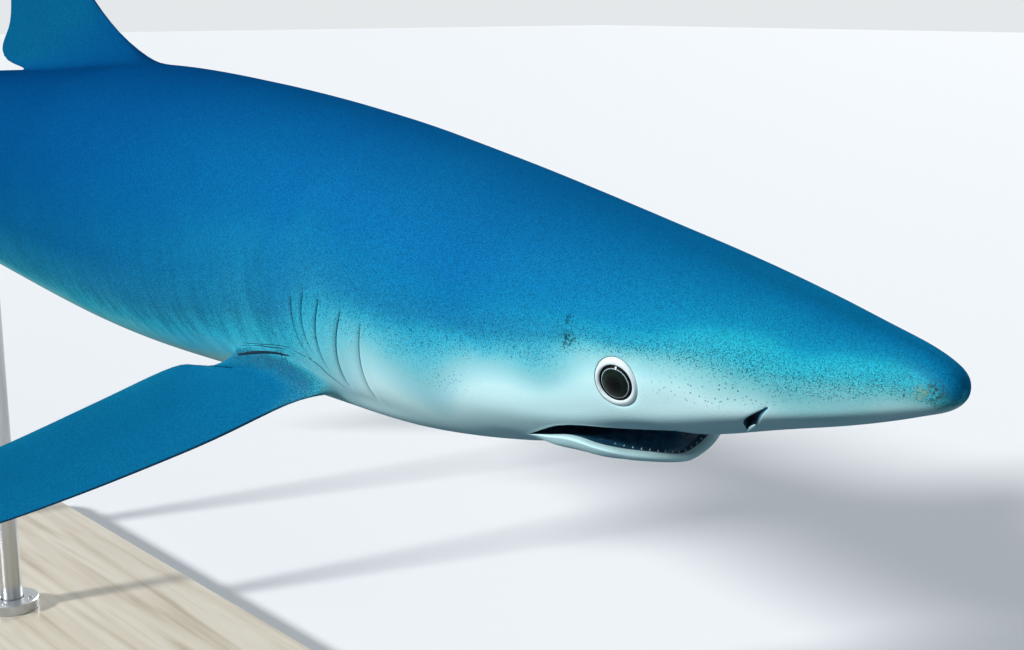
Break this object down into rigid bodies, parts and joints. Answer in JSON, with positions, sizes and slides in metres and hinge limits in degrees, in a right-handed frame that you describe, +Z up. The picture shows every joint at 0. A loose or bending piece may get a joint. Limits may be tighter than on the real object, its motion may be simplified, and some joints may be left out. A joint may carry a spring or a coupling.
{
  "type": "blue shark display model",
  "caption": "Life-size blue shark swimming with its mouth a little open, long pectoral fins spread, held over a flat base by upright rods.",
  "frame": {"origin": "centre of the stand base's underside, on the floor", "axes": "+X towards the snout, +Y towards the shark's left, +Z up"},
  "size_m": [2.1996, 0.6314, 0.8896],
  "materials": {
    "skin": "satin painted skin with a fine grain of denticles, deep blue on the back, bright blue on the flanks and white below",
    "eye": "glossy dark eye with a thin silver ring and a clear front",
    "stand_board": "pale satin lacquer on board",
    "stand_steel": "fine brushed stainless steel"
  },
  "bodies": {
    "root": {"anal_fin": "skin", "dorsal_first_fin": "skin", "dorsal_second_fin": "skin", "eye_left": "eye", "eye_right": "eye", "gills": "skin", "head": "skin", "lower_jaw": "skin", "pectoral_left": "skin", "pectoral_right": "skin", "pelvic_left": "skin", "pelvic_right": "skin", "snout": "skin", "stand_base": "stand_board", "stand_collar_front": "stand_steel", "stand_collar_rear": "stand_steel", "stand_rod_front": "stand_steel", "stand_rod_rear": "stand_steel", "tail_lower": "skin", "tail_stem": "skin", "tail_upper": "skin", "trunk_front": "skin", "trunk_middle": "skin", "trunk_rear": "skin"}
  },
  "joints": []
}
